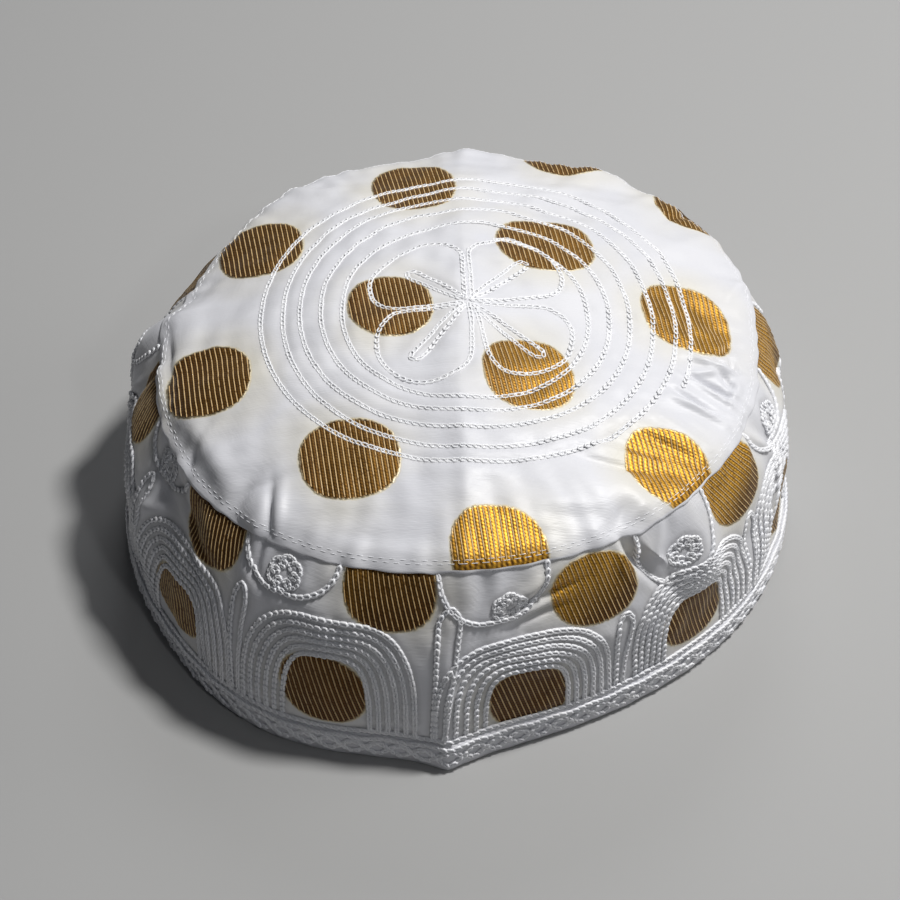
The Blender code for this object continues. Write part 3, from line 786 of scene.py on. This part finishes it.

# %% [markdown]
# ## The cloth: white satin with woven dots
# Satin floats long threads over the face, which gives it a soft broad sheen and a barely visible weave.
# Inside a dot the floats are gold and brown, in twilled bands between raised cream cords. Two materials
# could meet at the dot's edge, but one does both with a softer border: the distance to the edge chooses the
# colour, the rib number paints shade on each band, dark at its sides beside the cords and bright in its
# middle, and the way along the rib gives the twill. Each dot's tone is painted light as well: dark brown where
# the dot lies in shade, gold where light falls on it. Handling has left faint yellowish marks near the dots,
# and grey shade is painted on the cloth along the threads.

# %% Satin material
WHITE, COOL_SHADE = (0.68, 0.68, 0.705, 1), (0.58, 0.585, 0.625, 1)
# The second colour is the grey of the shade painted along the threads.
STAIN, THREAD_SHADE_GREY = (0.61, 0.58, 0.49, 1), (0.36, 0.36, 0.37, 1)
# Painted light in a dot runs from the dark brown of shade to the gold of lit parts.
DARK_BROWN, BROWN, GOLD = (0.034, 0.011, 0.001, 1), (0.105, 0.040, 0.002, 1), (0.66, 0.35, 0.032, 1)
FRAYED = (0.62, 0.54, 0.36, 1)
# Lengths in millimetres: how far yellow marks and the painted grey shade along the threads reach, and the
# pitch of the twill along a rib.
# The scales of the noises are in waves to a metre.
STAIN_REACH, THREAD_SHADE_REACH, TWILL_PITCH = 10.0, 2.0, 0.9


def satin(name, thread_shade=0.0, with_dots=True):
    material, graph = new_material(name)
    place = graph.object_place()
    slow = graph.noise(place, 38.0, 3.0)
    fine = graph.noise(place, 420.0, 2.0)
    threads = graph.noise(graph.scaled(place, (260.0, 260.0, 2200.0)), 1.0, 2.0)
    floats = graph.noise(graph.scaled(place, (300.0, 2200.0, 300.0)), 1.0, 2.0)
    white = graph.mix((slow * 1.6 - 0.45).clamped(), COOL_SHADE, WHITE)
    weave = threads * 0.5 + floats * 0.5
    inputs = {"Roughness": 0.42 + fine * 0.12, "Specular IOR Level": 0.55, "Sheen Weight": 0.15,
              "Sheen Roughness": 0.4}
    if not with_dots:
        inputs["Base Color"] = white
        inputs["Normal"] = graph.bump(0.25, 0.0002, weave)
        finish_material(graph, inputs)
        return material
    edge = graph.attribute("dot_edge") + (graph.noise(place, 900.0, 1.0) - 0.5) * 0.7
    inside = (0.5 - edge * 4.0).clamped()
    near = (1.0 - edge / STAIN_REACH).clamped()
    white = graph.mix((near * (slow * 2.6 - 0.8).clamped() * 0.85).clamped(), white, STAIN)
    # Painted shade: the cloth turns grey next to each thread.
    thread_shade_mask = (1.0 - graph.attribute("from_line") / THREAD_SHADE_REACH).clamped()
    white = graph.mix(thread_shade_mask * thread_shade, white, THREAD_SHADE_GREY)
    rib = graph.attribute("rib")
    # Painted shade: each band between the cords is darker at its sides and brighter in its middle.
    band = (rib.fold(0.5) * 2.0).clamped()
    streak = graph.noise(graph.scaled(place, (700.0, 120.0, 120.0)), 1.0, 2.0)
    twill = (graph.attribute("along") / TWILL_PITCH + rib * 0.8).fold(0.5) * 2.0
    # The tone attribute paints the dot's light: dark brown in shade, gold where light falls.
    tone = (graph.attribute("tone") * (0.55 + slow)).clamped()
    # The painted band shade mixed with the twill and streaks of the weave.
    weave_and_painted_shade = (band * 0.9 + (streak - 0.5) * 0.9 + twill * 0.45 - 0.2).clamped()
    woven = graph.mix(weave_and_painted_shade, graph.mix(tone, DARK_BROWN, BROWN), graph.mix(tone, BROWN, GOLD))
    border = (1.0 - edge.size() * 2.0).clamped() * 0.8
    inputs["Base Color"] = graph.mix(border, graph.mix(inside, white, woven), FRAYED)
    inputs["Metallic"] = inside * 0.7
    height = weave * 0.85 + inside * (0.6 + band * 0.6 + twill * 0.35)
    inputs["Normal"] = graph.bump(0.45, 0.0003, height)
    finish_material(graph, inputs)
    return material


# The band's copy carries far more of the painted shade along its threads than the crown's.
crown_satin, band_satin = satin("crown_satin_weave", 0.10), satin("band_satin_weave", 0.75)
hem_satin = satin("hem_satin_weave", with_dots=False)
for piece, material in ((crown_piece, crown_satin), (band_piece, band_satin), (strip_piece, hem_satin)):
    piece.data.materials.append(material)
print("cloth materials", [material.name for material in (crown_satin, band_satin, hem_satin)])

# %% [markdown]
# ## The threads
# The white embroidery is a shiny rayon thread, laid in loops that catch the light like a string of beads.
# That of the crown is finer and duller. The cords in the dots are cream and broken into beads by the weft.
# All are thin rods, so instead of modelling their fibres a fine bump roughens them.

# %% Thread materials
BEAD_SCALE = 1100.0


def thread_material(name, light, dark, roughness, sheen, beads=None):
    material, graph = new_material(name)
    place = graph.object_place()
    tone = graph.noise(place, 160.0, 2.0)
    fibre = graph.noise(place, 2600.0, 2.0)
    color = graph.mix((tone * 1.8 - 0.4).clamped(), dark, light)
    if beads:
        color = graph.mix((graph.noise(place, BEAD_SCALE, 0.0) * 4.0 - 0.8).clamped(), beads, color)
    finish_material(graph, {
        "Base Color": color, "Roughness": roughness + fibre * 0.12, "Specular IOR Level": 0.6,
        "Sheen Weight": sheen, "Normal": graph.bump(0.3, 0.0001, fibre)})
    return material


white_thread = thread_material("white_rayon_thread", (0.84, 0.84, 0.86, 1), (0.70, 0.71, 0.75, 1), 0.22, 0.05)
crown_thread = thread_material("fine_white_thread", (0.82, 0.82, 0.84, 1), (0.74, 0.75, 0.78, 1), 0.42, 0.10)
cream_cord = thread_material("cream_cord", (0.66, 0.47, 0.23, 1), (0.50, 0.33, 0.14, 1), 0.34, 0.0,
                             (0.24, 0.13, 0.035, 1))
print("thread materials", white_thread.name, crown_thread.name, cream_cord.name)

# %% [markdown]
# ## Putting lines onto the cloth
# A line of the flat plan becomes a chain of mesh edges on the finished cloth. Each point keeps the direction
# that points out of the cap, so that Geometry Nodes can later stand a stitch upright on it. A Blender curve
# object can't hold such a value, and a mesh of edges can.

# %% Lines on the cloth
def on_crown(line):
    """Points and outward directions for places (x, y) in millimetres on the crown."""
    x, y = line[:, 0] * MM, line[:, 1] * MM
    bearing = np.degrees(np.arctan2(x, -y))
    return crown_cloth(bearing, np.hypot(x, y) / section_value("seam_radius", bearing))


def on_band(line, cloth=band_cloth):
    """Points and outward directions for places (bearing, height in millimetres) on the band."""
    return cloth(line[:, 0], line[:, 1] * MM / section_value("seam_height", line[:, 0]))


def on_strip(line):
    return on_band(line, strip_cloth)


def below_seam(line, margin=1.2):
    """The part of a band line that the crown's edge doesn't cover."""
    return line[line[:, 1] < section_value("seam_height", line[:, 0]) / MM - margin]


def line_object(name, lines, place):
    """A mesh of edges along the lines, with the outward direction at each point."""
    points, normals, edges, first = [], [], [], 0
    for line in lines:
        point, normal = place(line)
        points.append(point)
        normals.append(normal)
        edges += [(first + i, first + i + 1) for i in range(len(line) - 1)]
        first += len(line)
    mesh = bpy.data.meshes.new(name)
    mesh.from_pydata((np.vstack(points) + np.array(AXIS)).tolist(), edges, [])
    mesh.attributes.new("outward", "FLOAT_VECTOR", "POINT").data.foreach_set(
        "vector", np.vstack(normals).astype(np.float32).ravel())
    return add_object(name, mesh)


print("the flower's middle on the cloth, mm:", (on_crown(np.array([FLOWER]))[0][0] / MM).round(1).tolist())

# %% [markdown]
# ## Chain stitch with Geometry Nodes
# A chain stitch is a loop of thread that starts inside the loop before it. Thousands of them could be copied
# by an Array modifier along a curve, but that bends each copy and can't stand it on the cloth. The tree here
# makes one loop from a ring of seven points, puts it at even steps along every line, turns it to the line
# and the cloth, and varies its size a little with a fixed seed.

# %% Chain stitch tree
def new_tree(name, sizes):
    """A geometry tree with an input for its lines, its thread and each named size."""
    tree = bpy.data.node_groups.new(name, "GeometryNodeTree")
    tree.interface.new_socket("Lines", in_out="INPUT", socket_type="NodeSocketGeometry")
    tree.interface.new_socket("Thread", in_out="INPUT", socket_type="NodeSocketMaterial")
    for size in sizes:
        tree.interface.new_socket(size, in_out="INPUT", socket_type="NodeSocketFloat")
    tree.interface.new_socket("Sewn", in_out="OUTPUT", socket_type="NodeSocketGeometry")
    graph = Graph(tree)
    return graph, graph.node("NodeGroupInput")


def close_tree(graph, given, shape):
    """The last nodes of every tree: real geometry, its material and smooth faces."""
    real = graph.node("GeometryNodeRealizeInstances", None, {"Geometry": shape})
    painted = graph.node("GeometryNodeSetMaterial", None, {"Geometry": real, "Material": given.out("Thread")})
    smooth = graph.node("GeometryNodeSetShadeSmooth", None, {"Geometry": painted})
    graph.node("NodeGroupOutput", None, {"Sewn": smooth})
    return graph.tree


def loop_shape(graph, given, points, sides):
    """One loop of thread: narrow and low at its start, wide and raised at its end."""
    ring = graph.circle(points, 1.0)
    axes = graph.node("ShaderNodeSeparateXYZ", None, {0: graph.node("GeometryNodeInputPosition")}, "X")
    forward, sideways = axes, axes.out("Y")
    place = graph.node("ShaderNodeCombineXYZ", None, {
        "X": forward * given.out("Length") * 0.5,
        "Y": sideways * given.out("Width") * 0.5 * (0.72 + forward * 0.28),
        "Z": given.out("Radius") * (1.0 + forward * 0.55) + given.out("Lift")})
    shaped = graph.node("GeometryNodeSetPosition", None, {"Geometry": ring, "Position": place})
    thread = graph.circle(sides, given.out("Radius"))
    return graph.node("GeometryNodeCurveToMesh", None, {"Curve": shaped, "Profile Curve": thread})


def along_lines(graph, given, shape, size_change):
    """Copies of a shape at even steps along the lines, standing on the cloth."""
    curve = graph.node("GeometryNodeMeshToCurve", None, {"Mesh": given.out("Lines")})
    steps = graph.node("GeometryNodeCurveToPoints", {"mode": "LENGTH"},
                       {"Curve": curve, "Length": given.out("Pitch")}, "Points")
    up = graph.node("GeometryNodeInputNamedAttribute", {"data_type": "FLOAT_VECTOR"}, {"Name": "outward"},
                    "Attribute")
    turn = graph.node("FunctionNodeAxesToRotation", {"primary_axis": "Z", "secondary_axis": "X"},
                      {"Primary Axis": up, "Secondary Axis": steps.out("Tangent")})
    change = graph.node("FunctionNodeRandomValue", {"data_type": "FLOAT"},
                        {2: 1.0 - size_change, 3: 1.0 + size_change, "Seed": 11}, 1)
    return graph.node("GeometryNodeInstanceOnPoints", None,
                      {"Points": steps, "Instance": shape, "Rotation": turn, "Scale": change})


LOOP_POINTS, THREAD_SIDES, SIZE_CHANGE = 7, 4, 0.08
graph, given = new_tree("chain_stitch", ("Pitch", "Length", "Width", "Radius", "Lift"))
loop = loop_shape(graph, given, LOOP_POINTS, THREAD_SIDES)
CHAIN_TREE = close_tree(graph, given, along_lines(graph, given, loop, SIZE_CHANGE))
print("chain stitch tree:", len(CHAIN_TREE.nodes), "nodes")


def sew(name, lines, place, tree, values):
    """Lays lines on the cloth, runs a tree on them, and returns its result as a plain mesh."""
    lines = line_object(name + "_lines", lines, place)
    modifier = lines.modifiers.new("sewing", "NODES")
    modifier.node_group = tree
    for socket in tree.interface.items_tree:
        if socket.in_out == "INPUT" and socket.name in values:
            modifier[socket.identifier] = values[socket.name]
    depsgraph = bpy.context.evaluated_depsgraph_get()
    mesh = bpy.data.meshes.new_from_object(lines.evaluated_get(depsgraph), preserve_all_data_layers=True,
                                           depsgraph=depsgraph)
    mesh.name = name
    bpy.data.objects.remove(lines, do_unlink=True)
    mesh.calc_loop_triangles()
    print(name, "triangles", len(mesh.loop_triangles))
    return add_object(name, mesh)


# %% Sew the embroidery
CHAIN = {"Thread": crown_thread, "Pitch": 1.8 * MM, "Length": 2.7 * MM, "Width": 1.35 * MM,
         "Radius": 0.28 * MM, "Lift": -0.29 * MM}
BAND_CHAIN = {"Thread": white_thread, "Pitch": 1.8 * MM, "Length": 2.5 * MM, "Width": 1.10 * MM,
              "Radius": 0.42 * MM, "Lift": -0.22 * MM}
ROSETTE_CHAIN = dict(BAND_CHAIN, Pitch=1.2 * MM, Length=1.6 * MM, Width=0.8 * MM, Radius=0.36 * MM)
HEM_CHAIN = dict(BAND_CHAIN, Lift=-0.12 * MM)
rings_piece = sew("crown_embroidery", CROWN_LINES, on_crown, CHAIN_TREE, CHAIN)
arch_piece = sew("band_arches", ARCH_LINES, on_band, CHAIN_TREE, BAND_CHAIN)
vine_piece = sew("band_vines", [below_seam(line) for line in VINE_LINES], on_band, CHAIN_TREE, BAND_CHAIN)
knot_piece = sew("band_knots", ROSETTE_LINES, on_band, CHAIN_TREE, ROSETTE_CHAIN)
hem_piece = sew("hem_waves", HEM_LINES, on_strip, CHAIN_TREE, HEM_CHAIN)

# %% [markdown]
# ## Cords in the dots and the topstitch
# The cream cords of a dot are straight parallel lines cut off by its outline. A Boolean could cut them, but
# it is slow on hundreds of rods, so each line is walked along and only what lies inside is kept. A second
# tree sweeps a small round profile along such lines. The topstitch that holds the crown's edge down is two
# dashed lines of short rods, so it is swept from short lines too.

# %% Cords
CORD_STEP, CORD_INSET, SEAM_INSET = 0.7, 0.05, 0.8


def cord_lines(dots, wrap, allowed):
    """The lines of every dot's cords, as places of the flat plan."""
    lines = []
    for dot in dots:
        lean = math.radians(dot.lean)
        reach = max(dot.half_x, dot.half_y) + 3
        along = np.arange(-reach, reach, CORD_STEP)
        for number in range(-int(reach / RIB_PITCH), int(reach / RIB_PITCH) + 1):
            off_x = number * RIB_PITCH * math.cos(lean) - along * math.sin(lean)
            off_y = number * RIB_PITCH * math.sin(lean) + along * math.cos(lean)
            x = dot.x + off_x / (BAND_MM_PER_DEGREE if wrap else 1.0)
            y = dot.y + off_y
            inside = (dot_fields([dot], x, y, wrap)["dot_edge"] < -CORD_INSET) & allowed(x, y)
            if inside.sum() > 2:
                lines.append(np.stack([x[inside], y[inside]], 1))
    return lines


def crown_allows(x, y):
    bearing = np.degrees(np.arctan2(x, -y))
    return np.hypot(x, y) < section_value("seam_radius", bearing) / MM - SEAM_INSET


def band_allows(x, y):
    below_crown = y < section_value("seam_height", x) / MM - SEAM_INSET
    return (y > STRIP_HEIGHT / MM + SEAM_INSET) & below_crown


graph, given = new_tree("swept_cord", ("Radius",))
curve = graph.node("GeometryNodeMeshToCurve", None, {"Mesh": given.out("Lines")})
profile = graph.circle(THREAD_SIDES, given.out("Radius"))
rod = graph.node("GeometryNodeCurveToMesh", None,
                 {"Curve": curve, "Profile Curve": profile, "Fill Caps": True})
CORD_TREE = close_tree(graph, given, rod)
CROWN_CORD = {"Thread": cream_cord, "Radius": 0.21 * MM}
BAND_CORD = {"Thread": cream_cord, "Radius": 0.18 * MM}
crown_cords = sew("crown_dot_cords", cord_lines(CROWN_DOTS, False, crown_allows), on_crown, CORD_TREE,
                  CROWN_CORD)
band_cords = sew("band_dot_cords", cord_lines(BAND_DOTS, True, band_allows), on_band, CORD_TREE, BAND_CORD)

# %% Topstitch
# In millimetres: the insets of the two rows from the crown's edge, a stitch, and the gap after it. The second
# row is shifted by a degree, which is about half a stitch.
TOPSTITCH_INSETS, STITCH_LENGTH, STITCH_GAP, ROW_SHIFT = (0.9, 1.5), 2.2, 0.5, 1.0
TOPSTITCH_RADIUS, TOPSTITCH_ARCH, TOPSTITCH_SINK = 0.11 * MM, 0.20, 0.16
EDGE_DEGREES_PER_MM = 57.3 / 80.0


def topstitch_lines(inset, length, gap, shift=0.0):
    """Short lines along the crown's edge, which dip into the cloth at both ends."""
    bearings = np.arange(0, 360, (length + gap) * EDGE_DEGREES_PER_MM) + shift
    lines = []
    for start in bearings:
        bearing = start + np.linspace(0, length * EDGE_DEGREES_PER_MM, 5)
        lines.append(round_point(bearing, section_value("seam_radius", bearing) / MM - inset, 0.0)[:, :2])
    return lines


def raised_on_crown(line):
    point, normal = on_crown(line)
    rise = np.sin(np.linspace(0, math.pi, len(line))) * TOPSTITCH_ARCH - TOPSTITCH_SINK
    return point + normal * rise[:, None] * MM, normal


stitch_lines = [line for row, inset in enumerate(TOPSTITCH_INSETS)
                for line in topstitch_lines(inset, STITCH_LENGTH, STITCH_GAP, row * ROW_SHIFT)]
topstitch = sew("crown_topstitch", stitch_lines, raised_on_crown, CORD_TREE,
                {"Thread": white_thread, "Radius": TOPSTITCH_RADIUS})

# %% [markdown]
# ## Joining the pieces to the imported model
# The three cloth pieces stand for the three plain walls. Everything is sewn together and nothing turns, so
# all pieces ride on the one body.

# %% Ride and replace
for piece, node, slot in ((crown_piece, "crown", "crown_satin"), (band_piece, "side_band", "band_satin"),
                          (strip_piece, "hem_strip", "hem_satin")):
    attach(piece, "root")
    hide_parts(node)
for piece in (rings_piece, arch_piece, vine_piece, knot_piece, hem_piece, crown_cords, band_cords, topstitch):
    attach(piece, "root")

# %% [markdown]
# ## Floor, light and camera
# The cap stands on a plain pale floor. The main light hangs high on the right, so folds and threads throw
# small soft shadows, and three weak lights stand in front, behind and at the right side. One large light
# would be simpler, but it would hide the relief. The camera stands close and looks down steeply, so that
# crown, band and rim all show.

# %% Floor
def plain_material(name, color, roughness):
    material, graph = new_material(name)
    finish_material(graph, {"Base Color": color, "Roughness": roughness})
    return material


FLOOR_HALF, FLOOR_HEIGHT = 6.0, -0.0001
corners = [(x * FLOOR_HALF, y * FLOOR_HALF, FLOOR_HEIGHT)
           for x, y in ((-1, -1), (1, -1), (1, 1), (-1, 1))]
floor_mesh = bpy.data.meshes.new("floor")
floor_mesh.from_pydata(corners, [], [(0, 1, 2, 3)])
floor = add_object("floor", floor_mesh)
floor_mesh.materials.append(plain_material("pale_floor", (0.35, 0.35, 0.35, 1), 0.8))
print("floor", 2 * FLOOR_HALF, "m wide")

# %% Lights
LIGHT_AIM = Vector((0, 0, 0.03))


def soft_light(name, place, size, watts, color):
    light = bpy.data.lights.new(name, "AREA")
    light.shape, light.size, light.energy, light.color = "DISK", size, watts, color
    lamp = add_object(name, light)
    lamp.location = place
    lamp.rotation_euler = (LIGHT_AIM - Vector(place)).to_track_quat("-Z", "Y").to_euler()
    print("light", name, watts, "W")


soft_light("key", (0.50, 0.08, 1.15), 0.20, 15.5, (1.0, 0.99, 0.97))
soft_light("front", (0.35, -0.75, 0.85), 0.10, 1.0, (0.97, 0.98, 1.0))
soft_light("back", (0.1, 0.9, 0.8), 0.45, 2.4, (0.97, 0.98, 1.0))
soft_light("side", (1.0, 0.15, 0.40), 0.6, 2.0, (1.0, 0.99, 0.97))
world = bpy.data.worlds.new("studio")
world.use_nodes = True
world.node_tree.nodes["Background"].inputs["Color"].default_value = (0.80, 0.83, 0.88, 1)
world.node_tree.nodes["Background"].inputs["Strength"].default_value = 0.06
bpy.context.scene.world = world
bpy.context.scene.view_settings.view_transform = "Standard"

# %% Camera
DISTANCE, ELEVATION, AZIMUTH = 0.696, math.radians(44.0), math.radians(-2.0)
LENS, SENSOR, AIM_UP, AIM_RIGHT = 100.0, 36.0, 0.0156, 0.00056
back = Vector((math.sin(AZIMUTH) * math.cos(ELEVATION), -math.cos(AZIMUTH) * math.cos(ELEVATION),
               math.sin(ELEVATION)))
right = Vector((math.cos(AZIMUTH), math.sin(AZIMUTH), 0.0))
up = back.cross(right)
middle = Vector(AXIS)
camera = add_object("camera", bpy.data.cameras.new("camera"))
camera.data.lens, camera.data.sensor_width, camera.data.clip_start = LENS, SENSOR, 0.01
camera.location = middle + back * DISTANCE
aim = middle + up * AIM_UP + right * AIM_RIGHT
camera.rotation_euler = (aim - camera.location).to_track_quat("-Z", "Y").to_euler()
bpy.context.scene.camera = camera
print("camera", DISTANCE, "m away")

# %% Update the view layer
bpy.context.view_layer.update()
